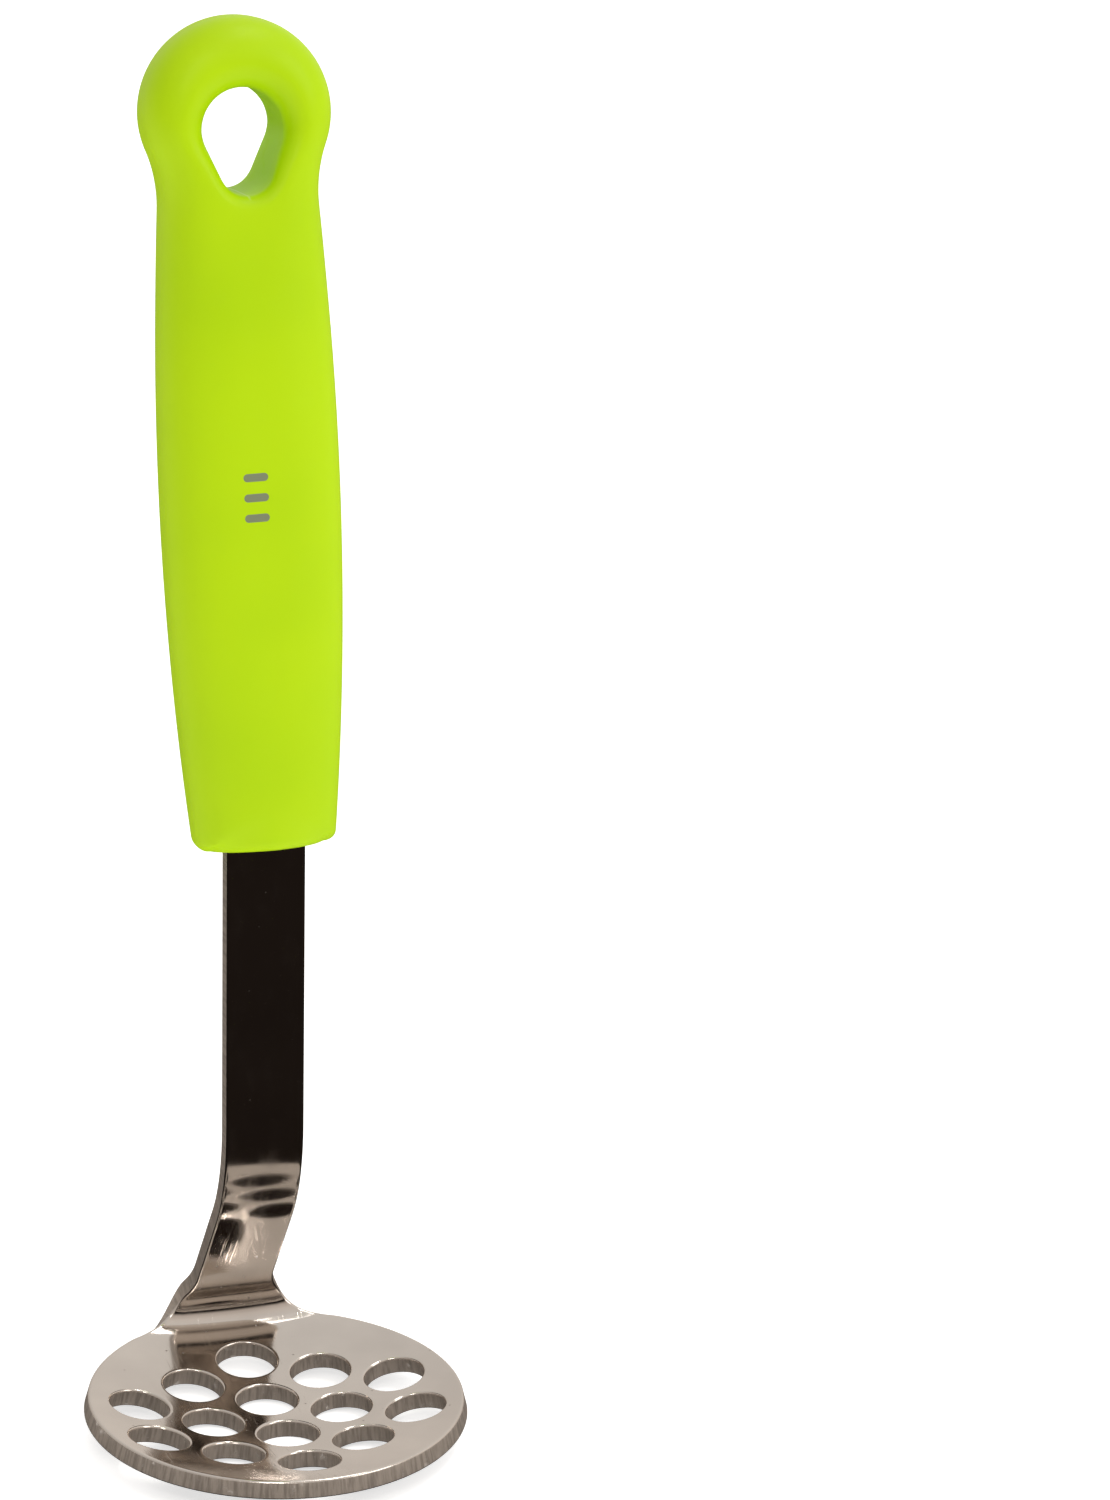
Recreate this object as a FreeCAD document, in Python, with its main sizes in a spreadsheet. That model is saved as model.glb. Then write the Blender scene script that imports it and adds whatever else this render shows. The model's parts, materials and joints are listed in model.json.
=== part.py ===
import FreeCAD, Part
import math
import os
import Sketcher
from FreeCAD import Placement, Rotation, Vector

# Small hand masher in two pieces: a steel blade, stamped and bent from one strip, and a
# plastic handle moulded around the blade's hidden tang.
#
# Frame: +Z up, the user stands at -Y, the object is symmetric about X = 0. The origin is on
# the surface that the head presses on, under the middle of the object's box.

# (alias, value in mm or degrees, meaning)
DIMENSIONS = [
    ("sheet_thickness", 2.4, "thickness of the steel strip"),
    ("dish_radius", 98.5, "spherical radius of the head's upper face"),
    ("disc_radius", 24.9, "radius of the head's disc in the flat blank"),
    ("pattern_forward", 5.771, "middle of the hole pattern, in front of the origin"),
    ("disc_offset", 0.9, "disc centre, behind the middle of the hole pattern"),
    ("hole_diameter", 8.0, "diameter of each hole in the head"),
    ("hole_pitch", 10.1, "centre distance of neighbouring holes"),
    ("strip_width", 10.5, "width of the neck, shank and tang"),
    ("flare_radius", 10.0, "blend between disc and strip in the flat blank"),
    ("heel_start", 21.5, "length on the blank from the hole pattern's middle to the heel bend"),
    ("heel_radius", 3.2, "inner radius of the heel bend, where the strip turns up"),
    ("neck_lean", 35.2, "forward lean of the neck from vertical"),
    ("neck_length", 19.2, "straight length of the neck"),
    ("knee_radius", 25.0, "front radius of the knee bend between neck and shank"),
    ("shank_lean", 1.7, "backward lean of the shank from vertical"),
    ("shank_length", 39.2, "straight length from the knee to the handle's mouth"),
    ("tang_bend_radius", 30.0, "front radius of the small bend inside the mouth"),
    ("tang_length", 52.0, "straight length of the tang inside the handle"),
    ("key_diameter", 4.5, "holes in the tang that the plastic flows through"),
    ("key_pitch", 22.0, "distance between the two key holes"),
    ("key_inset", 9.0, "key hole centre, from the end of the tang"),
    ("handle_lean", 11.0, "backward lean of the handle from vertical"),
    ("handle_length", 106.95, "mouth to the top of the loop, along the handle"),
    ("mouth_radius", 4.8, "front view rounding of the mouth's corners"),
    ("side_radius", 450.0, "front view radius of the grip's bulging sides"),
    ("bulge_height", 47.0, "height of the grip's widest and thickest place"),
    ("grip_width", 23.3, "width of the grip at its widest"),
    ("loop_radius", 12.2, "outer radius of the hanging loop"),
    ("waist_radius", 17.0, "blend between grip and loop"),
    ("handle_thickness", 15.0, "thickness of the grip at its thickest"),
    ("face_radius", 1400.0, "side view radius of the crowned front and back faces"),
    ("edge_radius", 4.6, "rounding along the edges of the handle"),
    ("eye_radius", 5.3, "arch radius of the hanging hole"),
    ("eye_tip_radius", 3.6, "radius of the hanging hole's lower end"),
    ("eye_height", 13.5, "height of the hanging hole"),
    ("eye_drop", 1.95, "centre of the arch, below the centre of the loop"),
    ("eye_rounding", 1.8, "rounding of the hanging hole's rims"),
]

doc = FreeCAD.newDocument("masher")
sheet = doc.addObject("Spreadsheet::Sheet", "dimensions")
for row, (alias, value, meaning) in enumerate(DIMENSIONS, start=1):
    sheet.set("A%d" % row, meaning)
    sheet.set("B%d" % row, str(value))
    sheet.setAlias("B%d" % row, alias)
doc.recompute()


def size(alias):
    """Read one driving dimension from the sheet."""
    return float(sheet.get(alias))


# --- The side path of the blade's upper and front face, in the YZ plane -------------------

def side_runs():
    """Return the path's runs after the disc's middle, as (length, curvature) pairs."""
    dish = 1 / size("dish_radius")
    heel = 1 / size("heel_radius")
    knee = 1 / size("knee_radius")
    entry = 1 / size("tang_bend_radius")
    heel_turn = math.radians(90 + size("neck_lean")) - size("heel_start") * dish
    knee_turn = math.radians(size("neck_lean") + size("shank_lean"))
    entry_turn = math.radians(size("handle_lean") - size("shank_lean"))
    return [
        (size("heel_start"), dish),
        (heel_turn / heel, heel),
        (size("neck_length"), 0),
        (knee_turn / knee, -knee),
        (size("shank_length"), 0),
        (entry_turn / entry, -entry),
        (size("tang_length"), 0),
    ]


def advance(place, length, curvature):
    """Move a (y, z, heading) place along a straight line or an arc."""
    y, z, heading = place
    turned = heading + length * curvature
    if abs(curvature) < 1e-9:
        return y + length * math.cos(heading), z + length * math.sin(heading), heading
    y += (math.sin(turned) - math.sin(heading)) / curvature
    z -= (math.cos(turned) - math.cos(heading)) / curvature
    return y, z, turned


RUNS = side_runs()
BLADE_END = sum(length for length, curvature in RUNS)
MOUTH_AT = sum(length for length, curvature in RUNS[:5])


def side_place(along):
    """Return (y, z, heading) at a length along the path, 0 at the hole pattern's middle."""
    place = (-size("pattern_forward"), size("sheet_thickness"), 0.0)
    if along < 0:
        return advance(place, along, RUNS[0][1])
    for length, curvature in RUNS:
        step = min(along, length)
        place = advance(place, step, curvature)
        along -= step
    return advance(place, along, 0)


def cross_curvature(along):
    """Curvature across the strip: the dish's own, fading out over the heel bend."""
    fade = min(max((along - RUNS[0][0]) / RUNS[1][0], 0), 1)
    return (1 - fade * fade * (3 - 2 * fade)) / size("dish_radius")


def formed_normal(across, along):
    """Unit normal of the upper face at a point of the flat blank."""
    heading = side_place(along)[2]
    swing = across * cross_curvature(along)
    inward = Vector(0, -math.sin(heading), math.cos(heading))
    return inward * math.cos(swing) - Vector(1, 0, 0) * math.sin(swing)


def formed_point(across, along, depth):
    """Carry a point of the flat blank to its place on the dished and bent blade.

    depth runs from 0 on the upper face to the sheet's thickness on the lower face.
    """
    y, z, heading = side_place(along)
    bow = cross_curvature(along)
    swing = across * bow
    inward = Vector(0, -math.sin(heading), math.cos(heading))
    reach = math.sin(swing) / bow if bow > 1e-9 else across
    rise = (1 - math.cos(swing)) / bow if bow > 1e-9 else 0
    upper = Vector(0, y, z) + Vector(1, 0, 0) * reach + inward * rise
    return upper - formed_normal(across, along) * depth


# --- The blade -----------------------------------------------------------------------------

def formed_patch(half_width, start, end, depth):
    """Build one run of the wide sheet's upper or lower face."""
    row_step = 1.5
    fewest_rows = 4
    columns_each_side = 5
    row_count = fewest_rows + int((end - start) / row_step)
    rows = [start + (end - start) * index / row_count for index in range(row_count + 1)]
    steps = range(-columns_each_side, columns_each_side + 1)
    columns = [half_width * index / columns_each_side for index in steps]
    surface = Part.BSplineSurface()
    surface.interpolate([[formed_point(u, v, depth) for u in columns] for v in rows])
    return surface.toShape()


def formed_sheet(half_width, start):
    """Build the wide dished and bent sheet that the blade's outline is cut from."""
    stations = [start]
    for index in range(1, len(RUNS) + 1):
        stations.append(sum(length for length, curvature in RUNS[:index]))
    spans = list(zip(stations, stations[1:]))
    thickness = size("sheet_thickness")
    on_middle = 1.0
    faces = []
    for first, last in spans:
        upper = formed_patch(half_width, first, last, 0.0)
        lower = formed_patch(half_width, first, last, thickness)
        walls = [Part.makeRuledSurface(a, b) for a, b in zip(upper.Edges, lower.Edges)]
        sides = [wall for wall in walls if abs(wall.CenterOfMass.x) > on_middle]
        ends = [wall for wall in walls if abs(wall.CenterOfMass.x) <= on_middle]
        ends.sort(key=lambda wall: wall.CenterOfMass.distanceToPoint(formed_point(0, first, 0)))
        faces += [upper, lower] + sides
        if first == stations[0]:
            faces.append(ends[0])
        if last == stations[-1]:
            faces.append(ends[1])
    shell = Part.makeShell(faces)
    shell.sewShape()
    return Part.makeSolid(shell)


def blank_outline(top):
    """Return the right half of the flat outline as points, from the front to the top."""
    disc = size("disc_radius")
    flare = size("flare_radius")
    half_strip = size("strip_width") / 2
    flare_x = half_strip + flare
    flare_v = math.sqrt((disc + flare) ** 2 - flare_x ** 2)
    meet = math.atan2(flare_v, flare_x)
    points = []
    arc_steps = 48
    for index in range(arc_steps + 1):
        angle = -math.pi / 2 + (meet + math.pi / 2) * index / arc_steps
        points.append((disc * math.cos(angle), disc * math.sin(angle)))
    flare_steps = 14
    for index in range(1, flare_steps + 1):
        angle = meet * (1 - index / flare_steps)
        points.append((flare_x - flare * math.cos(angle), flare_v - flare * math.sin(angle)))
    strip_step = 2.0
    rest = top - size("disc_offset") - flare_v
    strip_steps = int(math.ceil(rest / strip_step))
    for index in range(1, strip_steps + 1):
        points.append((half_strip, flare_v + rest * index / strip_steps))
    return [(u, v + size("disc_offset")) for u, v in points]


def outline_wall(top):
    """Build the wall that runs along the blank's outline, square to the formed sheet."""
    right = blank_outline(top)
    left = [(-u, v) for u, v in right[:0:-1]]
    flat = left + right
    spread = [0.0]
    for (u0, v0), (u1, v1) in zip(flat, flat[1:]):
        spread.append(spread[-1] + math.hypot(u1 - u0, v1 - v0))
    edges = []
    margin = 1.0
    for depth in (-margin, size("sheet_thickness") + margin):
        curve = Part.BSplineCurve()
        curve.interpolate(Points=[formed_point(u, v, depth) for u, v in flat], Parameters=spread)
        edges.append(curve.toShape())
    return Part.makeRuledSurface(edges[0], edges[1])


def formed_blank():
    """Cut the formed sheet along the outline and keep the blade's piece."""
    margin = 1.5
    half_width = size("disc_radius") + margin
    start = size("disc_offset") - half_width
    wide = formed_sheet(half_width, start)
    pieces = wide.generalFuse([outline_wall(BLADE_END + margin)])[0]
    middle = formed_point(0, 0, size("sheet_thickness") / 2)
    kept = [piece for piece in pieces.Solids if piece.isInside(middle, 1e-3, True)]
    return kept[0]


def local_turn(across, along):
    """Turn that brings +Z onto the normal of the upper face."""
    return Rotation(Vector(0, 0, 1), formed_normal(across, along))


def cutter(name, radius_formula, across, along):
    """Add a cylinder that cuts one round hole square through the formed sheet."""
    reach = 3.0
    tool = doc.addObject("Part::Cylinder", name)
    tool.setExpression("Radius", radius_formula)
    tool.setExpression("Height", "dimensions.sheet_thickness + %g" % (2 * reach))
    turn = local_turn(across, along)
    foot = formed_point(across, along, size("sheet_thickness") + reach)
    tool.Placement = Placement(foot, turn)
    return tool


def hole_places():
    """Return the head's holes on the flat blank: five columns of 2, 3, 4, 3 and 2."""
    pitch = size("hole_pitch")
    places = []
    for column in range(-2, 3):
        count = 4 - abs(column)
        across = column * pitch * math.sqrt(3) / 2
        places += [(across, (index - (count - 1) / 2) * pitch) for index in range(count)]
    return places


def key_places():
    """Return the tang's key holes on the flat blank, from the top down."""
    first = BLADE_END - size("key_inset")
    return [(0, first), (0, first - size("key_pitch"))]


def build_blade():
    """Make the steel blade: the formed blank less its holes."""
    blank = doc.addObject("Part::Feature", "formed_blank")
    blank.Shape = formed_blank()
    tools = []
    for index, (across, along) in enumerate(hole_places(), start=1):
        formula = "dimensions.hole_diameter / 2"
        tools.append(cutter("head_hole_%02d" % index, formula, across, along))
    for index, (across, along) in enumerate(key_places(), start=1):
        tools.append(cutter("key_hole_%d" % index, "dimensions.key_diameter / 2", across, along))
    punches = doc.addObject("Part::Compound", "punches")
    punches.Links = tools
    blade = doc.addObject("Part::Cut", "blade")
    blade.Base = blank
    blade.Tool = punches
    blade.Label = "blade"
    return blade


# --- The handle ----------------------------------------------------------------------------

def body_plane(body, role):
    """Find one of a body's own origin planes."""
    return [plane for plane in body.Origin.OriginFeatures if plane.Role == role][0]


def add_sketch(body, name, role):
    """Add a sketch on one of the body's origin planes."""
    sketch = body.newObject("Sketcher::SketchObject", name)
    sketch.AttachmentSupport = [(body_plane(body, role), "")]
    sketch.MapMode = "FlatFace"
    return sketch


def bind(sketch, formula, kind, *where):
    """Add a dimension to a sketch and bind it to the sheet."""
    index = sketch.addConstraint(Sketcher.Constraint(kind, *where))
    sketch.setExpression("Constraints[%d]" % index, formula)


def arc(centre, radius, start, end):
    """Return a circular arc in a sketch's plane, counter-clockwise between two angles."""
    circle = Part.Circle(Vector(centre[0], centre[1], 0), Vector(0, 0, 1), radius)
    return Part.ArcOfCircle(circle, start, end)


def bearing(start, end):
    """Return the angle of the line from one point to another."""
    return math.atan2(end[1] - start[1], end[0] - start[0])


def line(start, end):
    """Return a straight line in a sketch's plane."""
    return Part.LineSegment(Vector(start[0], start[1], 0), Vector(end[0], end[1], 0))


def sketch_outline(body):
    """Sketch the handle from the front: mouth, bulging sides, waist and loop."""
    corner = size("mouth_radius")
    side = size("side_radius")
    waist = size("waist_radius")
    loop = size("loop_radius")
    bulge = (size("grip_width") / 2 - side, size("bulge_height"))
    top = (0.0, size("handle_length") - loop)
    foot_x = bulge[0] + math.sqrt((side - corner) ** 2 - (bulge[1] - corner) ** 2)
    foot = (foot_x, corner)
    # The waist's centre lies where it just touches both the loop and the side.
    span = math.dist(bulge, top)
    along = ((side + waist) ** 2 - (loop + waist) ** 2 + span ** 2) / (2 * span)
    off = math.sqrt((side + waist) ** 2 - along ** 2)
    unit = ((top[0] - bulge[0]) / span, (top[1] - bulge[1]) / span)
    neck = (bulge[0] + along * unit[0] + off * unit[1], bulge[1] + along * unit[1] - off * unit[0])

    sketch = add_sketch(body, "front_outline", "XZ_Plane")
    half_turn = math.pi
    right = [
        arc(foot, corner, -half_turn / 2, bearing(bulge, foot)),
        arc(bulge, side, bearing(bulge, foot), bearing(bulge, neck)),
        arc(neck, waist, bearing(neck, top), bearing(neck, bulge) + 2 * half_turn),
    ]
    left = [
        arc((-neck[0], neck[1]), waist, half_turn - bearing(neck, bulge) - 2 * half_turn,
            half_turn - bearing(neck, top)),
        arc((-bulge[0], bulge[1]), side, half_turn - bearing(bulge, neck),
            half_turn - bearing(bulge, foot)),
        arc((-foot[0], foot[1]), corner, half_turn - bearing(bulge, foot), half_turn * 1.5),
    ]
    start = bearing(top, neck)
    loop_arc = arc(top, loop, start, half_turn - start)
    base = line((-foot[0], 0), (foot[0], 0))
    sketch.addGeometry([base] + right + [loop_arc] + left, False)
    tie_outline(sketch)
    return sketch


def tie_outline(sketch):
    """Make the outline's joints smooth and bind its sizes to the sheet."""
    base, right_corner, right_side, right_waist, loop, left_waist, left_side, left_corner = range(8)
    origin, start, end, centre = 1, 1, 2, 3
    x_axis, y_axis = -1, -2
    joints = [
        (base, end, right_corner, start),
        (right_corner, end, right_side, start),
        (right_side, end, right_waist, end),
        (right_waist, start, loop, start),
        (loop, end, left_waist, end),
        (left_waist, start, left_side, start),
        (left_side, end, left_corner, start),
        (left_corner, end, base, start),
    ]
    for joint in joints:
        sketch.addConstraint(Sketcher.Constraint("Tangent", *joint))
    sketch.addConstraint(Sketcher.Constraint("PointOnObject", base, start, x_axis))
    sketch.addConstraint(Sketcher.Constraint("PointOnObject", loop, centre, y_axis))
    sketch.addConstraint(Sketcher.Constraint("Equal", right_corner, left_corner))
    sketch.addConstraint(Sketcher.Constraint("Equal", right_side, left_side))
    sketch.addConstraint(Sketcher.Constraint("Equal", right_waist, left_waist))
    bind(sketch, "dimensions.mouth_radius", "Radius", right_corner, size("mouth_radius"))
    bind(sketch, "dimensions.side_radius", "Radius", right_side, size("side_radius"))
    bind(sketch, "dimensions.waist_radius", "Radius", right_waist, size("waist_radius"))
    bind(sketch, "dimensions.loop_radius", "Radius", loop, size("loop_radius"))
    loop_height = size("handle_length") - size("loop_radius")
    bind(sketch, "dimensions.handle_length - dimensions.loop_radius", "DistanceY",
         x_axis, origin, loop, centre, loop_height)
    offset = size("side_radius") - size("grip_width") / 2
    for side, sign in ((right_side, -1), (left_side, 1)):
        bind(sketch, "dimensions.bulge_height", "DistanceY", x_axis, origin, side, centre,
             size("bulge_height"))
        ends = (side, centre, x_axis, origin) if sign < 0 else (x_axis, origin, side, centre)
        bind(sketch, "dimensions.side_radius - dimensions.grip_width / 2", "DistanceX",
             *ends, offset)


def sketch_crown(body):
    """Sketch what is trimmed off the slab, from the side, to crown its two faces."""
    radius = size("face_radius")
    half = size("handle_thickness") / 2
    middle = size("bulge_height")
    low = -2.0
    high = size("handle_length") + 2.0
    outer = half + 2.0
    sketch = add_sketch(body, "crown_trim", "YZ_Plane")
    for sign in (1, -1):
        centre_y = sign * (half - radius)
        rise_low = math.asin((low - middle) / radius)
        rise_high = math.asin((high - middle) / radius)
        if sign > 0:
            crown = arc((centre_y, middle), radius, rise_low, rise_high)
            bottom, top = crown.StartPoint, crown.EndPoint
        else:
            crown = arc((centre_y, middle), radius, math.pi - rise_high, math.pi - rise_low)
            bottom, top = crown.EndPoint, crown.StartPoint
        edge_low = (sign * outer, low)
        edge_high = (sign * outer, high)
        sides = [line(bottom, edge_low), line(edge_low, edge_high), line(edge_high, top)]
        first = sketch.GeometryCount
        sketch.addGeometry([crown] + sides, False)
        joints = [(first, 1 if sign > 0 else 2, first + 1, 1), (first + 1, 2, first + 2, 1),
                  (first + 2, 2, first + 3, 1), (first + 3, 2, first, 2 if sign > 0 else 1)]
        for joint in joints:
            sketch.addConstraint(Sketcher.Constraint("Coincident", *joint))
        sketch.addConstraint(Sketcher.Constraint("Horizontal", first + 1))
        sketch.addConstraint(Sketcher.Constraint("Vertical", first + 2))
        sketch.addConstraint(Sketcher.Constraint("Horizontal", first + 3))
        bind(sketch, "dimensions.face_radius", "Radius", first, radius)
        bind(sketch, "dimensions.bulge_height", "DistanceY", -1, 1, first, 3, middle)
        ends = (first, 3, -1, 1) if sign > 0 else (-1, 1, first, 3)
        bind(sketch, "dimensions.face_radius - dimensions.handle_thickness / 2", "DistanceX",
             *ends, radius - half)
    return sketch


def sketch_eye(body):
    """Sketch the hanging hole: an arch on top, two straight sides and a narrow lower end."""
    arch = size("eye_radius")
    tip = size("eye_tip_radius")
    top = (0.0, size("handle_length") - size("loop_radius") - size("eye_drop"))
    spacing = size("eye_height") - arch - tip
    low = (0.0, top[1] - spacing)
    lean = math.asin((arch - tip) / spacing)
    arch_arc = arc(top, arch, -lean, math.pi + lean)
    tip_arc = arc(low, tip, math.pi + lean, 2 * math.pi - lean)
    sketch = add_sketch(body, "eye_outline", "XZ_Plane")
    sides = [line(arch_arc.EndPoint, tip_arc.StartPoint), line(tip_arc.EndPoint, arch_arc.StartPoint)]
    sketch.addGeometry([arch_arc, sides[0], tip_arc, sides[1]], False)
    for joint in ((0, 2, 1, 1), (1, 2, 2, 1), (2, 2, 3, 1), (3, 2, 0, 1)):
        sketch.addConstraint(Sketcher.Constraint("Tangent", *joint))
    sketch.addConstraint(Sketcher.Constraint("PointOnObject", 0, 3, -2))
    sketch.addConstraint(Sketcher.Constraint("PointOnObject", 2, 3, -2))
    bind(sketch, "dimensions.eye_radius", "Radius", 0, arch)
    bind(sketch, "dimensions.eye_tip_radius", "Radius", 2, tip)
    bind(sketch, "dimensions.handle_length - dimensions.loop_radius - dimensions.eye_drop",
         "DistanceY", -1, 1, 0, 3, top[1])
    bind(sketch, "dimensions.eye_height - dimensions.eye_radius - dimensions.eye_tip_radius",
         "DistanceY", 2, 3, 0, 3, spacing)
    return sketch


def cut_both_ways(body, name, sketch):
    """Pocket a sketch right through the body and make sure that it removed material."""
    before = body.Shape.Volume
    pocket = body.newObject("PartDesign::Pocket", name)
    pocket.Profile = sketch
    pocket.Type = "ThroughAll"
    pocket.SideType = "Symmetric"
    doc.recompute()
    if not body.Shape.Volume < before - 1:
        raise RuntimeError("%s removed nothing" % name)
    return pocket


def edges_where(shape, test):
    """Return the names of a shape's edges that pass a test."""
    return ["Edge%d" % index for index, edge in enumerate(shape.Edges, start=1) if test(edge)]


def on_face_rim(edge):
    """Tell whether an edge runs along a rim of the front or back face."""
    inner_half = size("handle_thickness") / 4
    return all(abs(point.y) > inner_half for point in edge.discretize(5))


def on_eye(edge):
    """Tell whether an edge is a rim of the hanging hole."""
    slack = 0.1
    half_width = size("eye_radius") + slack
    top = size("handle_length") - size("loop_radius") - size("eye_drop") + half_width
    bottom = top - size("eye_height") - 2 * slack
    points = edge.discretize(5)
    inside = all(abs(point.x) < half_width and bottom < point.z < top for point in points)
    return inside and on_face_rim(edge)


def fillet(body, name, base, names, formula):
    """Round some edges of the body's last feature."""
    feature = body.newObject("PartDesign::Fillet", name)
    feature.Base = (base, names)
    feature.setExpression("Radius", formula)
    doc.recompute()
    return feature


def build_handle(blade):
    """Make the plastic handle, with a cavity that fits the tang and fills its key holes."""
    body = doc.addObject("PartDesign::Body", "handle_body")
    y, z, heading = side_place(MOUTH_AT)
    depth = size("sheet_thickness") / 2
    mouth = Vector(0, y + depth * math.sin(heading), z - depth * math.cos(heading))
    body.Placement = Placement(mouth, Rotation(Vector(1, 0, 0), -size("handle_lean")))
    pad = body.newObject("PartDesign::Pad", "slab")
    pad.Profile = sketch_outline(body)
    pad.SideType = "Symmetric"
    pad.setExpression("Length", "dimensions.handle_thickness + 1")
    doc.recompute()
    crowned = cut_both_ways(body, "crown", sketch_crown(body))
    rims = edges_where(crowned.Shape, on_face_rim)
    rounded = fillet(body, "rounded_edges", crowned, rims, "dimensions.edge_radius")
    eye = cut_both_ways(body, "eye", sketch_eye(body))
    rims = edges_where(eye.Shape, on_eye)
    softened = fillet(body, "eye_rims", eye, rims, "dimensions.eye_rounding")
    body.Tip = softened
    handle = doc.addObject("Part::Cut", "handle")
    handle.Base = body
    handle.Tool = blade
    handle.Label = "handle"
    return handle


blade = build_blade()
doc.recompute()
handle = build_handle(blade)
doc.recompute()
for item in doc.Objects:
    if "Invalid" in item.State or "Error" in item.State:
        raise RuntimeError("%s failed to build: %s" % (item.Name, item.State))
for node in (blade, handle):
    if node.Shape.isNull() or not node.Shape.isValid() or len(node.Shape.Solids) != 1:
        raise RuntimeError("%s is not one valid solid" % node.Label)
    print(node.Label, "volume %.0f mm3" % node.Shape.Volume)
os.makedirs("parts", exist_ok=True)
for node in (blade, handle):
    node.Shape.exportStep("parts/%s.step" % node.Label)
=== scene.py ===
"""Small hand masher: a polished steel blade, stamped from one strip, in a moulded plastic handle."""
import json
import logging
import math
from dataclasses import dataclass, field
from enum import Enum
from typing import Any, Callable, Dict, Iterable, List, Optional, Sequence, Tuple, Union

import bpy
import numpy as np
from mathutils import Matrix, Vector
from mathutils.geometry import delaunay_2d_cdt


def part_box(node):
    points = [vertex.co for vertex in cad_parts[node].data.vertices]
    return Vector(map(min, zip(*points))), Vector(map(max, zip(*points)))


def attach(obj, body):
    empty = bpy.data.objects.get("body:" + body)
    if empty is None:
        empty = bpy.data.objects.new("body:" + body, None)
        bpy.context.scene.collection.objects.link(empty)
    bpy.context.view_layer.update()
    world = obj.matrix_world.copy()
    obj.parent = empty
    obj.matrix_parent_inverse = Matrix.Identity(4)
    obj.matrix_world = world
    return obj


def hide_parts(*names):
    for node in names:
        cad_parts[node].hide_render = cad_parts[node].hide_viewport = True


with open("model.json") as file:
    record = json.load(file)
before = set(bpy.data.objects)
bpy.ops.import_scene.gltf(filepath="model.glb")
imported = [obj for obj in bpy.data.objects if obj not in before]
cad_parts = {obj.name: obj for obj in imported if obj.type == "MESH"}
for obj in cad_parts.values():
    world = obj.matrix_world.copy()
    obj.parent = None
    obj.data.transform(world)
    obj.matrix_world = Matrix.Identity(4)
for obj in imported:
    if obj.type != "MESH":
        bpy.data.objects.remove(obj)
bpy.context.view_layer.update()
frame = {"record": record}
LOG = logging.getLogger("masher")
MM = 0.001
SAME_POINT = 1e-6
MERGE_REACH = 1e-9
QUARTER = math.pi / 2

Flat = Tuple[float, float]
Color = Tuple[float, float, float]


# --- Node expressions ----------------------------------------------------------------------

def math_operator(operation: str, reflected: bool = False) -> Callable[["Link", "Value"], "Link"]:
    """Make a Link method that adds one Math node.

    Args:
        operation: the Math node's operation.
        reflected: whether the Link stands on the operator's right.

    Returns:
        The method.
    """
    def apply(self: "Link", other: "Value") -> "Link":
        """Return the Math node's result."""
        values = (other, self) if reflected else (self, other)
        return self.tree.math(operation, *values)

    return apply


class Link:
    """A node's output socket that can be used in Python arithmetic."""

    def __init__(self, tree: "Tree", socket: Any) -> None:
        """Keep the socket and the tree that new Math nodes go to."""
        self.tree = tree
        self.socket = socket

    __add__ = math_operator("ADD")
    __radd__ = math_operator("ADD", reflected=True)
    __sub__ = math_operator("SUBTRACT")
    __rsub__ = math_operator("SUBTRACT", reflected=True)
    __mul__ = math_operator("MULTIPLY")
    __rmul__ = math_operator("MULTIPLY", reflected=True)
    __truediv__ = math_operator("DIVIDE")
    __rtruediv__ = math_operator("DIVIDE", reflected=True)


Value = Union[Link, float]


@dataclass(frozen=True)
class Speckle:
    """One noise: its scale per metre, its detail, and its stretch along each axis."""

    per_metre: float
    detail: float
    stretch: Tuple[float, float, float] = (1.0, 1.0, 1.0)
    harshness: float = 0.6


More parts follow.
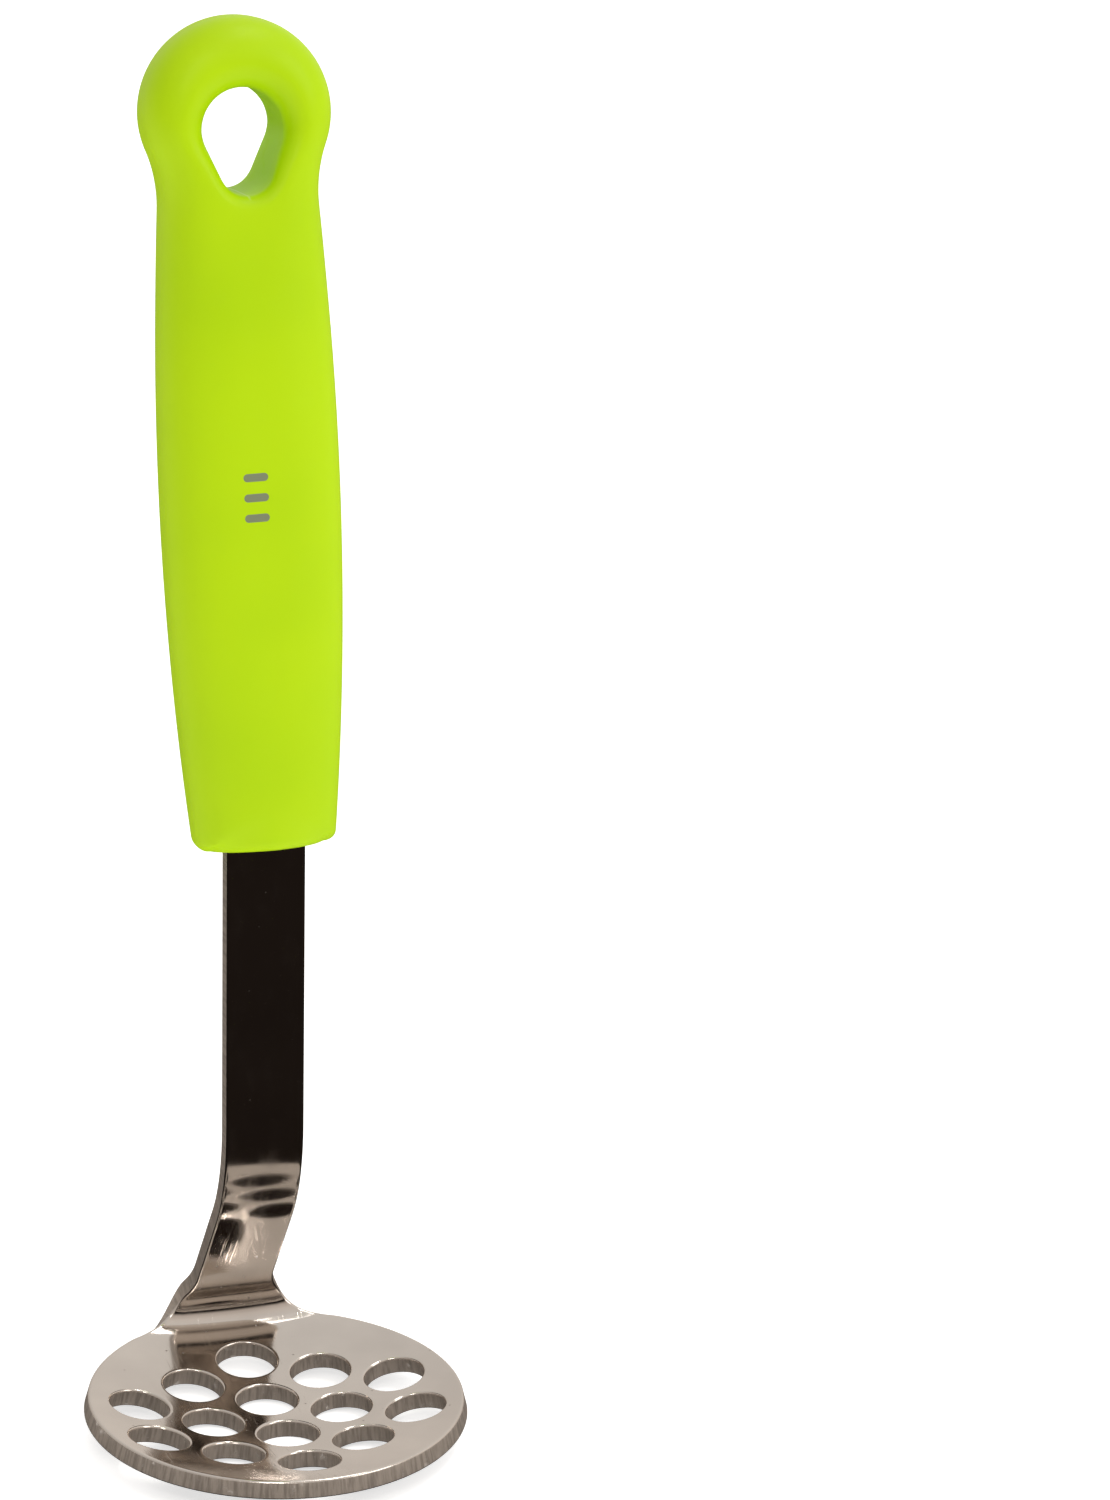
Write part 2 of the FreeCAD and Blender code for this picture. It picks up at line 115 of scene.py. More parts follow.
class Tree:
    """A node tree with one method that adds any node and a few named shorthands."""

    def __init__(self, tree: Any) -> None:
        """Wrap a shader or geometry node tree."""
        self.tree = tree

    def node(self, kind: str, settings: Optional[Dict[str, Any]] = None,
             inputs: Optional[Dict[Any, Any]] = None) -> Any:
        """Add a node, set it up and connect it.

        Args:
            kind: the node's type name.
            settings: properties that are set first; "ramp" holds a ramp's (position, color) stops.
            inputs: socket name or number to a link or a plain value.

        Returns:
            The new node.
        """
        made = self.tree.nodes.new(kind)
        for name, value in (settings or {}).items():
            if name == "ramp":
                self._set_ramp(made, value)
            else:
                setattr(made, name, value)
        for name, value in (inputs or {}).items():
            if isinstance(value, Link):
                self.tree.links.new(value.socket, made.inputs[name])
            else:
                made.inputs[name].default_value = value
        return made

    def link(self, kind: str, settings: Optional[Dict[str, Any]] = None,
             inputs: Optional[Dict[Any, Any]] = None, output: Any = 0) -> Link:
        """Add a node and return one of its outputs as a Link."""
        return Link(self, self.node(kind, settings, inputs).outputs[output])

    def math(self, operation: str, *values: Value) -> Link:
        """Add a Math node and return its result."""
        return self.link("ShaderNodeMath", {"operation": operation}, dict(enumerate(values)))

    def clamp(self, value: Value, low: Value, high: Value) -> Link:
        """Hold a value between two limits."""
        return self.math("MINIMUM", self.math("MAXIMUM", value, low), high)

    def smooth(self, value: Link, low: float, high: float) -> Link:
        """Return 0 below low, 1 above high and a smooth step between."""
        inputs = {"Value": value, "From Min": low, "From Max": high}
        return self.link("ShaderNodeMapRange", {"interpolation_type": "SMOOTHSTEP"}, inputs)

    def noise(self, place: Link, speckle: Speckle) -> Link:
        """Return a noise value from 0 to 1 at a place."""
        moved = self.link("ShaderNodeMapping", None, {"Vector": place, "Scale": speckle.stretch})
        return self.link("ShaderNodeTexNoise", None, {
            "Vector": moved, "Scale": speckle.per_metre, "Detail": speckle.detail,
            "Roughness": speckle.harshness})

    def bump(self, height: Link, strength: float, distance: float) -> Link:
        """Turn a height into a bent normal."""
        return self.link("ShaderNodeBump", None,
                         {"Strength": strength, "Distance": distance, "Height": height})

    def mix_color(self, factor: Value, first: Any, second: Any) -> Link:
        """Blend two colours."""
        inputs = {0: factor, 6: self._rgba(first), 7: self._rgba(second)}
        return self.link("ShaderNodeMix", {"data_type": "RGBA"}, inputs, 2)

    def feed(self, node: Any, links: Dict[str, Link]) -> None:
        """Connect links to a node's named inputs."""
        for name, value in links.items():
            self.tree.links.new(value.socket, node.inputs[name])

    @staticmethod
    def _rgba(color: Any) -> Any:
        """Give a plain colour its alpha."""
        return color if isinstance(color, Link) else (*color, 1.0)

    @staticmethod
    def _set_ramp(node: Any, stops: Sequence[Tuple[float, Color]]) -> None:
        """Replace a colour ramp's stops.

        Args:
            node: the Color Ramp node.
            stops: positions and colours in rising order.
        """
        elements = node.color_ramp.elements
        while len(elements) > 1:
            elements.remove(elements[-1])
        elements[0].position = stops[0][0]
        elements[0].color = (*stops[0][1], 1.0)
        for position, color in stops[1:]:
            elements.new(position).color = (*color, 1.0)


# --- Meshes --------------------------------------------------------------------------------

def closed_outline_normals(points: np.ndarray) -> np.ndarray:
    """Return unit normals of a counter-clockwise closed outline, pointing out of it.

    Args:
        points: the outline's points in order.

    Returns:
        One normal for each point.
    """
    ahead = np.roll(points, -1, axis=0) - points
    behind = points - np.roll(points, 1, axis=0)
    ahead /= np.linalg.norm(ahead, axis=1)[:, None]
    behind /= np.linalg.norm(behind, axis=1)[:, None]
    along = ahead + behind
    along /= np.linalg.norm(along, axis=1)[:, None]
    return np.stack([along[:, 1], -along[:, 0]], axis=1)


def smoothstep(share: np.ndarray) -> np.ndarray:
    """Ease a share from 0 to 1 with level ends, held outside them."""
    held = np.clip(share, 0, 1)
    return held * held * (3 - 2 * held)


def arc_points(centre: Flat, radius: float, start: float, end: float, step: float) -> List[Flat]:
    """Return points along an arc, both ends included.

    Args:
        centre: the arc's centre.
        radius: its radius.
        start: first angle in radians.
        end: last angle in radians.
        step: greatest distance between neighbouring points.

    Returns:
        The points in order.
    """
    count = max(2, int(math.ceil(abs(end - start) * radius / step)))
    angles = [start + (end - start) * index / count for index in range(count + 1)]
    return [(centre[0] + radius * math.cos(a), centre[1] + radius * math.sin(a)) for a in angles]


def line_points(start: Flat, end: Flat, step: float) -> List[Flat]:
    """Return points along a straight line, both ends included.

    Args:
        start: first point.
        end: last point.
        step: greatest distance between neighbouring points.

    Returns:
        The points in order.
    """
    count = max(1, int(math.ceil(math.dist(start, end) / step)))
    return [(start[0] + (end[0] - start[0]) * i / count, start[1] + (end[1] - start[1]) * i / count)
            for i in range(count + 1)]


def join_runs(runs: Sequence[Sequence[Flat]]) -> np.ndarray:
    """Join point runs into one closed outline, dropping repeated points.

    Args:
        runs: the runs, each one starting where the one before it ends.

    Returns:
        The outline's points.
    """
    joined: List[Flat] = []
    for run in runs:
        for point in run:
            if not joined or math.dist(point, joined[-1]) > SAME_POINT:
                joined.append(point)
    if math.dist(joined[0], joined[-1]) < SAME_POINT:
        joined.pop()
    return np.array(joined)


def distance_to_outline(points: np.ndarray, outline: np.ndarray, closed: bool = True) -> np.ndarray:
    """Return each point's distance to an outline's segments.

    Args:
        points: the points, one per row.
        outline: the outline's points in order.
        closed: whether the last point joins the first.

    Returns:
        One distance for each point.
    """
    starts = outline if closed else outline[:-1]
    ends = np.roll(outline, -1, axis=0) if closed else outline[1:]
    best = np.full(len(points), np.inf)
    for a, b in zip(starts, ends):
        run = b - a
        share = np.clip(((points - a) @ run) / max(run @ run, SAME_POINT ** 2), 0, 1)
        best = np.minimum(best, np.linalg.norm(points - a - share[:, None] * run, axis=1))
    return best


def inside_outline(points: np.ndarray, outline: np.ndarray) -> np.ndarray:
    """Tell which points lie inside a closed outline.

    Args:
        points: the points, one per row.
        outline: the outline's points in order.

    Returns:
        True for each point inside.
    """
    x, y = points[:, 0], points[:, 1]
    inside = np.zeros(len(points), dtype=bool)
    for (x0, y0), (x1, y1) in zip(outline, np.roll(outline, -1, axis=0)):
        if y0 == y1:
            continue
        crosses = (y0 > y) != (y1 > y)
        inside ^= crosses & (x < (x1 - x0) * (y - y0) / (y1 - y0) + x0)
    return inside


def between(points: np.ndarray, rings: Sequence[np.ndarray]) -> np.ndarray:
    """Tell which points lie inside the first ring and outside all the others.

    Args:
        points: the points, one per row.
        rings: closed outlines.

    Returns:
        True for each point between them.
    """
    keep = inside_outline(points, rings[0])
    for ring in rings[1:]:
        keep &= ~inside_outline(points, ring)
    return keep


def hexagonal_grid(low: np.ndarray, high: np.ndarray, spacing: float) -> np.ndarray:
    """Return evenly spaced points over a box, in rows that are offset by half a step.

    Args:
        low: the box's lowest corner.
        high: its highest corner.
        spacing: distance between neighbouring points.

    Returns:
        The points, one per row.
    """
    row_gap = spacing * math.sqrt(3) / 2
    half = int(max(abs(low[0]), abs(high[0])) / spacing) + 1
    grid: List[Flat] = []
    for row in range(int((high[1] - low[1]) / row_gap) + 1):
        offset = spacing / 2 if row % 2 else 0.0
        height = low[1] + row * row_gap
        grid += [(column * spacing + offset, height) for column in range(-half, half + 1)]
    return np.array(grid)


def fill_between(rings: Sequence[np.ndarray], spacing: float,
                 clearance: float = 0.55) -> Tuple[np.ndarray, np.ndarray]:
    """Triangulate the area inside the first ring and outside the others.

    Args:
        rings: closed outlines; the first one holds all the others.
        spacing: distance between the points that are added in the area.
        clearance: how near to a ring they may come, as a share of the spacing.

    Returns:
        The points, the rings' own first and in order, and the triangles, counter-clockwise.
    """
    grid = hexagonal_grid(rings[0].min(axis=0), rings[0].max(axis=0), spacing)
    grid = grid[between(grid, rings)]
    clear = np.ones(len(grid), dtype=bool)
    for ring in rings:
        clear &= distance_to_outline(grid, ring) > spacing * clearance
    points = np.concatenate([*rings, grid[clear]])
    edges: List[Tuple[int, int]] = []
    for ring in rings:
        first = len(edges)
        edges += [(first + i, first + (i + 1) % len(ring)) for i in range(len(ring))]
    result = delaunay_2d_cdt([Vector(p) for p in points], edges, [], 0, MERGE_REACH)
    triangles = np.array(result[2])
    triangles = triangles[between(points[triangles].mean(axis=1), rings)]
    a, b, c = (points[triangles[:, i]] for i in range(3))
    turn = (b[:, 0] - a[:, 0]) * (c[:, 1] - a[:, 1]) - (b[:, 1] - a[:, 1]) * (c[:, 0] - a[:, 0])
    triangles[turn < 0] = triangles[turn < 0][:, ::-1]
    return points, triangles


class Surface:
    """Collects vertices and faces and turns them into a smooth object at the origin."""

    def __init__(self) -> None:
        """Start empty."""
        self.vertices: List[Tuple[float, float, float]] = []
        self.faces: List[Tuple[int, ...]] = []

    def add(self, points: Iterable[Sequence[float]]) -> int:
        """Add vertices and return the first one's number."""
        first = len(self.vertices)
        self.vertices += [tuple(float(value) for value in point) for point in points]
        return first

    def cover(self, triangles: np.ndarray, first: int, flip: bool = False) -> None:
        """Add triangles whose corners are counted from a first vertex.

        Args:
            triangles: three corner numbers in each row.
            first: the number of the vertex that they count from.
            flip: whether the faces point the other way.
        """
        for corners in (triangles + first).tolist():
            self.faces.append(tuple(corners[::-1] if flip else corners))

    def bridge(self, lower: int, upper: int, count: int, flip: bool = False) -> None:
        """Join two closed rings of the same count with quads.

        Args:
            lower: the first vertex of one ring.
            upper: the first vertex of the other.
            count: how many vertices each ring has.
            flip: whether the faces point the other way.
        """
        for i in range(count):
            j = (i + 1) % count
            quad = (lower + i, lower + j, upper + j, upper + i)
            self.faces.append(quad[::-1] if flip else quad)

    def build(self, name: str, scale: float = 1.0) -> bpy.types.Object:
        """Make the object, with its place in its mesh.

        Args:
            name: the piece's name.
            scale: metres per unit of the vertices.

        Returns:
            The new object, linked to the scene.
        """
        mesh = bpy.data.meshes.new(name)
        mesh.from_pydata([tuple(scale * value for value in v) for v in self.vertices], [], self.faces)
        mesh.validate()
        mesh.update()
        mesh.shade_smooth()
        piece = bpy.data.objects.new(name, mesh)
        bpy.context.scene.collection.objects.link(piece)
        return piece


# --- Finishes ------------------------------------------------------------------------------

def start_material(name: str) -> Tuple[bpy.types.Material, Tree, Any]:
    """Make a node material and return it with its tree and its Principled shader.

    Args:
        name: the material's name.

    Returns:
        The material, its tree and its shader node.
    """
    material = bpy.data.materials.new(name)
    material.use_nodes = True
    return material, Tree(material.node_tree), material.node_tree.nodes["Principled BSDF"]


def darker(color: Color, share: float) -> Color:
    """Return a colour at a share of its brightness."""
    return tuple(value * share for value in color)


@dataclass(frozen=True)
class PolishedSteel:
    """Tumble-polished stainless sheet: mirror-like, with fine grain, hairlines and pits.

    The pattern follows the flat blank, whose grain runs along the strip. Punched edges are
    duller: sheared with streaks through the sheet, and torn where the punch broke through.
    """

    name: str = "polished_stainless"
    color: Color = (0.66, 0.60, 0.545)
    clouded: float = 0.90
    roughness: float = 0.10
    pit_color: Color = (0.12, 0.10, 0.085)
    pits_per_metre: float = 420.0
    sheared_color: Color = (0.40, 0.34, 0.29)
    streaked: float = 0.62
    sheared_roughness: float = 0.36
    sheared_metal: float = 0.45
    relief: float = 0.00003
    cloud: Speckle = Speckle(60.0, 3.0)
    waves: Speckle = Speckle(150.0, 1.0, (0.25, 1.0, 1.0))
    smear: Speckle = Speckle(330.0, 4.0, (1.0, 0.4, 1.0))
    grain: Speckle = Speckle(1500.0, 3.0, (1.0, 0.12, 1.0))
    hairs: Speckle = Speckle(1100.0, 2.0, (5.0, 0.10, 1.0))
    shear: Speckle = Speckle(2300.0, 3.0, (1.0, 1.0, 0.10))
    torn: Speckle = Speckle(700.0, 4.0)

    def face_color(self, tree: Tree, flat: Link, pits: Link) -> Link:
        """Return the polished face's colour: faint clouds, and dark pits.

        Args:
            tree: the material's tree.
            flat: place on the flat blank.
            pits: a mask of the pits.

        Returns:
            The colour.
        """
        cloud = tree.smooth(tree.noise(flat, self.cloud), 0.3, 0.7)
        color = tree.mix_color(cloud, self.color, darker(self.color, self.clouded))
        return tree.mix_color(pits * 0.5, color, self.pit_color)

    def edge_color(self, tree: Tree, shear: Link, torn: Link) -> Link:
        """Return the punched edge's colour: dark streaks, and bright where it is torn.

        Args:
            tree: the material's tree.
            shear: the noise of the streaks.
            torn: the noise of the torn places.

        Returns:
            The colour.
        """
        streaked = tree.mix_color(tree.smooth(shear, 0.35, 0.7), self.sheared_color,
                                  darker(self.sheared_color, self.streaked))
        return tree.mix_color(tree.smooth(torn, 0.62, 0.74), streaked, self.color)

    def make(self) -> bpy.types.Material:
        """Build the material, which reads the blade's flat_place and cut_edge attributes."""
        material, tree, shader = start_material(self.name)
        flat = tree.link("ShaderNodeAttribute", {"attribute_name": "flat_place"}, output="Vector")
        cut = tree.link("ShaderNodeAttribute", {"attribute_name": "cut_edge"}, output="Fac")
        waves, smear, grain, hairs, shear, torn = (
            tree.noise(flat, speckle) for speckle in
            (self.waves, self.smear, self.grain, self.hairs, self.shear, self.torn))
        cells = tree.link("ShaderNodeTexVoronoi", {"feature": "F1"},
                          {"Vector": flat, "Scale": self.pits_per_metre, "Randomness": 1.0})
        pits = (1.0 - tree.smooth(cells, 0.03, 0.09)) * (1.0 - cut)

        face_rough = (self.roughness + 0.09 * tree.smooth(smear, 0.45, 0.75)
                      + 0.04 * tree.smooth(grain, 0.5, 0.8) + 0.25 * pits)
        edge_rough = self.sheared_roughness - 0.12 * tree.smooth(torn, 0.6, 0.7)
        fine = 0.30 * grain + 0.45 * tree.smooth(hairs, 0.62, 0.72) - 1.0 * pits + 0.25 * smear
        height = (fine * 0.22 + waves * 1.5) * (1.0 - cut) + (1.6 * shear + 1.2 * torn) * cut
        tree.feed(shader, {
            "Base Color": tree.mix_color(cut, self.face_color(tree, flat, pits),
                                         self.edge_color(tree, shear, torn)),
            "Metallic": 1.0 - (1.0 - self.sheared_metal) * cut,
            "Roughness": face_rough * (1.0 - cut) + edge_rough * cut,
            "Normal": tree.bump(height, 1.0, self.relief),
        })
        return material


@dataclass(frozen=True)
class MouldedPlastic:
    """Satin injection-moulded plastic with a fine spark-eroded texture and faint flow marks.

    Lengths are in metres. A weld line, where the melt closed below the hanging hole, and
    three plain printed bars follow the handle's own frame.
    """

    name: str = "lime_plastic"
    color: Color = (0.455, 0.70, 0.0)
    shade: Color = (0.42, 0.665, 0.0)
    weld_color: Color = (0.62, 0.80, 0.30)
    print_color: Color = (0.17, 0.18, 0.155)
    roughness: float = 0.38
    subsurface: float = 0.08
    subsurface_radius: Tuple[float, float, float] = (0.002, 0.003, 0.0005)
    specular: float = 0.2
    relief: float = 0.00005
    weld_half_width: Tuple[float, float] = (0.00006, 0.00020)
    weld_wander: float = 0.0016
    weld_fade: Tuple[float, float] = (0.0006, 0.0004)
    bar_half_length: float = 0.0011
    bar_radius: float = 0.00055
    bar_blur: float = 0.00006
    flow: Speckle = Speckle(38.0, 2.0, harshness=0.55)
    texture: Speckle = Speckle(2600.0, 2.0, harshness=0.55)
    scuffs: Speckle = Speckle(420.0, 5.0, harshness=0.55)

    def weld_mask(self, tree: Tree, across: Link, along: Link, flow: Link,
                  weld: Tuple[float, float]) -> Link:
        """Return 1 on the weld line, a thin and slightly wandering thread.

        Args:
            tree: the material's tree.
            across: place across the handle.
            along: place along the handle.
            flow: the noise that the line wanders with.
            weld: lowest and highest place of the line.

        Returns:
            The mask.
        """
        off = tree.math("ABSOLUTE", across + (flow - 0.5) * self.weld_wander)
        thread = 1.0 - tree.smooth(off, *self.weld_half_width)
        low, high = weld
        rise = tree.smooth(along, low, low + self.weld_fade[0])
        return thread * (rise * (1.0 - tree.smooth(along, high, high + self.weld_fade[1])))

    def ink_mask(self, tree: Tree, place: Sequence[Link], bars: Sequence[Flat]) -> Link:
        """Return 1 on the printed bars, which have round ends and are on the front face only.

        Args:
            tree: the material's tree.
            place: links to the place across, through and along the handle.
            bars: the bars' centres, across and along.

        Returns:
            The mask.
        """
        across, depth, along = place
        ink: Value = 0.0
        for x, z in bars:
            rise = along - z
            reach = tree.math("ABSOLUTE", across - x) - self.bar_half_length
            reach = tree.math("MAXIMUM", reach, 0.0)
            far = tree.math("SQRT", rise * rise + reach * reach)
            bar = 1.0 - tree.smooth(far, self.bar_radius - self.bar_blur, self.bar_radius)
            ink = tree.math("MAXIMUM", ink, bar)
        return ink * tree.math("LESS_THAN", depth, 0.0)

    def make(self, mouth: Matrix, weld: Tuple[float, float], bars: Sequence[Flat]) -> bpy.types.Material:
        """Build the material.

        Args:
            mouth: the handle's place; its own Z runs along the handle.
            weld: lowest and highest place of the weld line below the hanging hole.
            bars: centres of the printed bars on the front face, across and along.

        Returns:
            The material.
        """
        material, tree, shader = start_material(self.name)
        shader.inputs["Subsurface Weight"].default_value = self.subsurface
        shader.inputs["Subsurface Radius"].default_value = self.subsurface_radius
        shader.inputs["Subsurface Scale"].default_value = 1.0
        shader.inputs["Specular IOR Level"].default_value = self.specular
        place = tree.link("ShaderNodeTexCoord", output="Object")
        back = mouth.inverted()
        turned = tree.link("ShaderNodeMapping", {"vector_type": "POINT"},
                           {"Vector": place, "Location": back.translation, "Rotation": back.to_euler()})
        parts = tree.node("ShaderNodeSeparateXYZ", None, {0: turned})
        across, depth, along = (Link(tree, socket) for socket in parts.outputs)
        flow, texture, scuffs = (tree.noise(place, speckle)
                                 for speckle in (self.flow, self.texture, self.scuffs))
        welded = self.weld_mask(tree, across, along, flow, weld)
        ink = self.ink_mask(tree, (across, depth, along), bars)
        color = tree.mix_color(tree.smooth(flow, 0.35, 0.7), self.color, self.shade)
        color = tree.mix_color(welded * 0.6, color, self.weld_color)
        worn = 0.07 * tree.smooth(scuffs, 0.5, 0.75) + 0.05 * texture
        tree.feed(shader, {
            "Base Color": tree.mix_color(ink * 0.9, color, self.print_color),
            "Roughness": self.roughness + worn + 0.12 * ink,
            "Normal": tree.bump(texture + 0.4 * scuffs - 1.5 * welded, 0.16, self.relief),
        })
        return material


# --- The blade -----------------------------------------------------------------------------

class PunchedEdge(Enum):
    """How a punched edge is rounded: its radius on the upper and on the lower face."""

    OUTLINE = (0.32, 0.16)
    HOLE = (0.30, 0.14)

    def levels(self, thickness: float, steps: int = 5, margin: float = 1.7) -> List[Flat]:
        """Return (inset, depth) of the rings that make the edge, from top to bottom.

        Args:
            thickness: the sheet's thickness.
            steps: rings round each corner.
            margin: how far the first and last ring stand in, as a share of the upper radius.

        Returns:
            The rings, the first and last one on the two faces.
        """
        top, bottom = self.value
        turns = [QUARTER * i / steps for i in range(steps + 1)]
        upper = [(top * (1 - math.sin(a)), top * (1 - math.cos(a))) for a in turns]
        walls = [(0.0, thickness * share) for share in (0.4, 0.7)]
        lower = [(bottom * (1 - math.sin(a)), thickness - bottom * (1 - math.cos(a)))
                 for a in reversed(turns)]
        return [(top * margin, 0.0), *upper, *walls, *lower, (top * margin, thickness)]


@dataclass
class Blade:
    """The steel strip: flat blank, perforated head, bends, shank and tang (millimetres)."""

    thickness: float = 2.4
    dish_radius: float = 98.5
    disc_radius: float = 24.9
    disc_offset: float = 0.9
    hole_radius: float = 4.0
    hole_pitch: float = 10.1
    strip_width: float = 10.5
    flare_radius: float = 10.0
    heel_start: float = 21.5
    heel_radius: float = 3.2
    neck_lean: float = 35.2
    neck_length: float = 19.2
    knee_radius: float = 25.0
    shank_lean: float = 1.7
    shank_length: float = 39.2
    entry_radius: float = 30.0
    tang_length: float = 52.0
    key_radius: float = 2.25
    key_pitch: float = 22.0
    key_inset: float = 9.0
    tang_corner: float = 1.2
    handle_lean: float = 11.0
    spacing: float = 0.8
    hole_spacing: float = 0.42
    corner_spacing: float = 0.3
    finish: PolishedSteel = field(default_factory=PolishedSteel)

    def runs(self) -> List[Tuple[str, float, float]]:
        """Return the side path's runs as (name, length, curvature), from the head's middle up."""
        dish = 1 / self.dish_radius
        heel_turn = math.radians(90 + self.neck_lean) - self.heel_start * dish
        knee_turn = math.radians(self.neck_lean + self.shank_lean)
        entry_turn = math.radians(self.handle_lean - self.shank_lean)
        return [
            ("Dish", self.heel_start, dish),
            ("Heel", heel_turn * self.heel_radius, 1 / self.heel_radius),
            ("Neck", self.neck_length, 0.0),
            ("Knee", knee_turn * self.knee_radius, -1 / self.knee_radius),
            ("Shank", self.shank_length, 0.0),
            ("Entry", entry_turn * self.entry_radius, -1 / self.entry_radius),
            ("Tang", self.tang_length, 0.0),
        ]

    def blade_length(self) -> float:
        """Return the blank's length from the middle of the holes to the tang's end."""
        return sum(length for _, length, _ in self.runs())

    def outline(self) -> np.ndarray:
        """Return the flat blank's outline, counter-clockwise from the front."""
        half = self.strip_width / 2
        flare_x = half + self.flare_radius
        flare_y = math.sqrt((self.disc_radius + self.flare_radius) ** 2 - flare_x ** 2)
        meet = math.atan2(flare_y, flare_x)
        step = self.spacing
        offset = self.disc_offset
        corner = self.tang_corner
        top = self.blade_length()
        right = [
            arc_points((0, offset), self.disc_radius, -QUARTER, meet, step),
            arc_points((flare_x, offset + flare_y), self.flare_radius, math.pi + meet, math.pi, step),
            line_points((half, offset + flare_y), (half, top - corner), step),
            arc_points((half - corner, top - corner), corner, 0, QUARTER, self.corner_spacing),
        ]
        left = [[(-x, y) for x, y in reversed(run)] for run in reversed(right)]
        return join_runs(right + left)

    def hole_outlines(self) -> List[np.ndarray]:
        """Return the head's 14 holes and the tang's key holes, counter-clockwise."""
        places = []
        for column in range(-2, 3):
            count = 4 - abs(column)
            across = column * self.hole_pitch * math.sqrt(3) / 2
            places += [(across, (i - (count - 1) / 2) * self.hole_pitch, self.hole_radius)
                       for i in range(count)]
        first_key = self.blade_length() - self.key_inset
        places += [(0.0, first_key - i * self.key_pitch, self.key_radius) for i in range(2)]
        return [np.array(arc_points((x, y), radius, 0, 2 * math.pi, self.hole_spacing)[:-1])
                for x, y, radius in places]

    def flat_blank(self) -> bpy.types.Object:
        """Build the punched blank lying flat, with rounded edges, upper face at Z = 0."""
        outlines = [self.outline(), *self.hole_outlines()]
        holes = len(outlines) - 1
        edges = [PunchedEdge.OUTLINE] + [PunchedEdge.HOLE] * holes
        senses = [1.0] + [-1.0] * holes
        levels = [edge.levels(self.thickness) for edge in edges]
        normals = [closed_outline_normals(outline) * sense for outline, sense in zip(outlines, senses)]
        caps = [outline - normal * level[0][0]
                for outline, normal, level in zip(outlines, normals, levels)]
        points, triangles = fill_between(caps, self.spacing)
        surface = Surface()
        upper = surface.add([(x, y, 0.0) for x, y in points])
        lower = surface.add([(x, y, -self.thickness) for x, y in points])
        surface.cover(triangles, upper)
        surface.cover(triangles, lower, flip=True)
        walls: List[int] = []
        first = 0
        for outline, normal, level, sense in zip(outlines, normals, levels, senses):
            count = len(outline)
            above = upper + first
            for inset, depth in level[1:-1]:
                below = surface.add([(x, y, -depth) for x, y in outline - normal * inset])
                surface.bridge(below, above, count, flip=sense < 0)
                if inset == 0.0:
                    walls += range(below, below + count)
                above = below
            surface.bridge(lower + first, above, count, flip=sense < 0)
            first += count
        blank = surface.build("blade", MM)
        self.mark_blank(blank.data, walls)
        return blank

    @staticmethod
    def mark_blank(mesh: bpy.types.Mesh, walls: Sequence[int]) -> None:
        """Store what the steel's finish reads, before the blank is bent.

        Args:
            mesh: the flat blank's mesh.
            walls: the vertices on its punched walls.
        """
        cut_edge = np.zeros(len(mesh.vertices), dtype=np.float32)
        cut_edge[list(walls)] = 1.0
        flat_place = np.zeros(3 * len(mesh.vertices), dtype=np.float32)
        mesh.vertices.foreach_get("co", flat_place)
        mesh.attributes.new("cut_edge", "FLOAT", "POINT").data.foreach_set("value", cut_edge)
        flat = mesh.attributes.new("flat_place", "FLOAT_VECTOR", "POINT")
        flat.data.foreach_set("vector", flat_place)

    def follow_path(self, tree: Tree, sizes: Dict[str, Link], along: Link) -> Tuple[Link, Link, Link]:
        """Follow the side path's runs to a place along the blank.

        Args:
            tree: the forming tree.
            sizes: the tree's named inputs.
            along: distance along the blank from the middle of the holes.

        Returns:
            The path's Y, Z and heading there.
        """
        y, z = sizes["Origin Y"], sizes["Origin Z"]
        heading: Value = 0.0
        start: Value = 0.0
        for number, (name, _, curvature) in enumerate(self.runs()):
            length = sizes[name + " Length"]
            step = tree.math("MINIMUM", along - start, length)
            if number:
                step = tree.math("MAXIMUM", step, 0.0)
            sine, cosine = tree.math("SINE", heading), tree.math("COSINE", heading)
            if curvature:
                radius = sizes[name + " Radius"]
                turned = heading + step / radius
                y = y + (tree.math("SINE", turned) - sine) * radius
                z = z - (tree.math("COSINE", turned) - cosine) * radius
                heading = turned
            else:
                y = y + step * cosine
                z = z + step * sine
            start = start + length
        return y, z, heading

    @staticmethod
    def bow_across(tree: Tree, sizes: Dict[str, Link], across: Link, along: Link) -> Tuple[Link, Link, Link]:
        """Bow the blank across its width: as the dish is, fading out over the heel.

        The arc's sine and versine are short series, which stay exact where it is straight.

        Args:
            tree: the forming tree.
            sizes: the tree's named inputs.
            across: place across the blank.
            along: distance along the blank.

        Returns:
            The place across after bowing, the rise off the path, and the angle it has turned.
        """
        fade = tree.clamp((along - sizes["Dish Length"]) / sizes["Heel Length"], 0.0, 1.0)
        bow = (1.0 - fade * fade * (3.0 - 2.0 * fade)) / sizes["Dish Radius"]
        swing = across * bow
        square = swing * swing
        reach = across * (1.0 - square / 6.0 + square * square / 120.0)
        rise = across * swing * (0.5 - square / 24.0)
        return reach, rise, swing

    def form(self, tree: Tree, sizes: Dict[str, Link]) -> Link:
        """Return where each point of the flat blank goes when it is dished and bent.

        Args:
            tree: the forming tree.
            sizes: the tree's named inputs.

        Returns:
            The point's new position.
        """
        position = tree.link("GeometryNodeInputPosition")
        parts = tree.node("ShaderNodeSeparateXYZ", None, {0: position})
        across, along, height = (Link(tree, socket) for socket in parts.outputs)
        y, z, heading = self.follow_path(tree, sizes, along)
        reach, rise, swing = self.bow_across(tree, sizes, across, along)
        lift = rise + height * tree.math("COSINE", swing)
        return tree.link("ShaderNodeCombineXYZ", None, {
            0: reach - height * tree.math("SINE", swing),
            1: y - tree.math("SINE", heading) * lift,
            2: z + tree.math("COSINE", heading) * lift,
        })

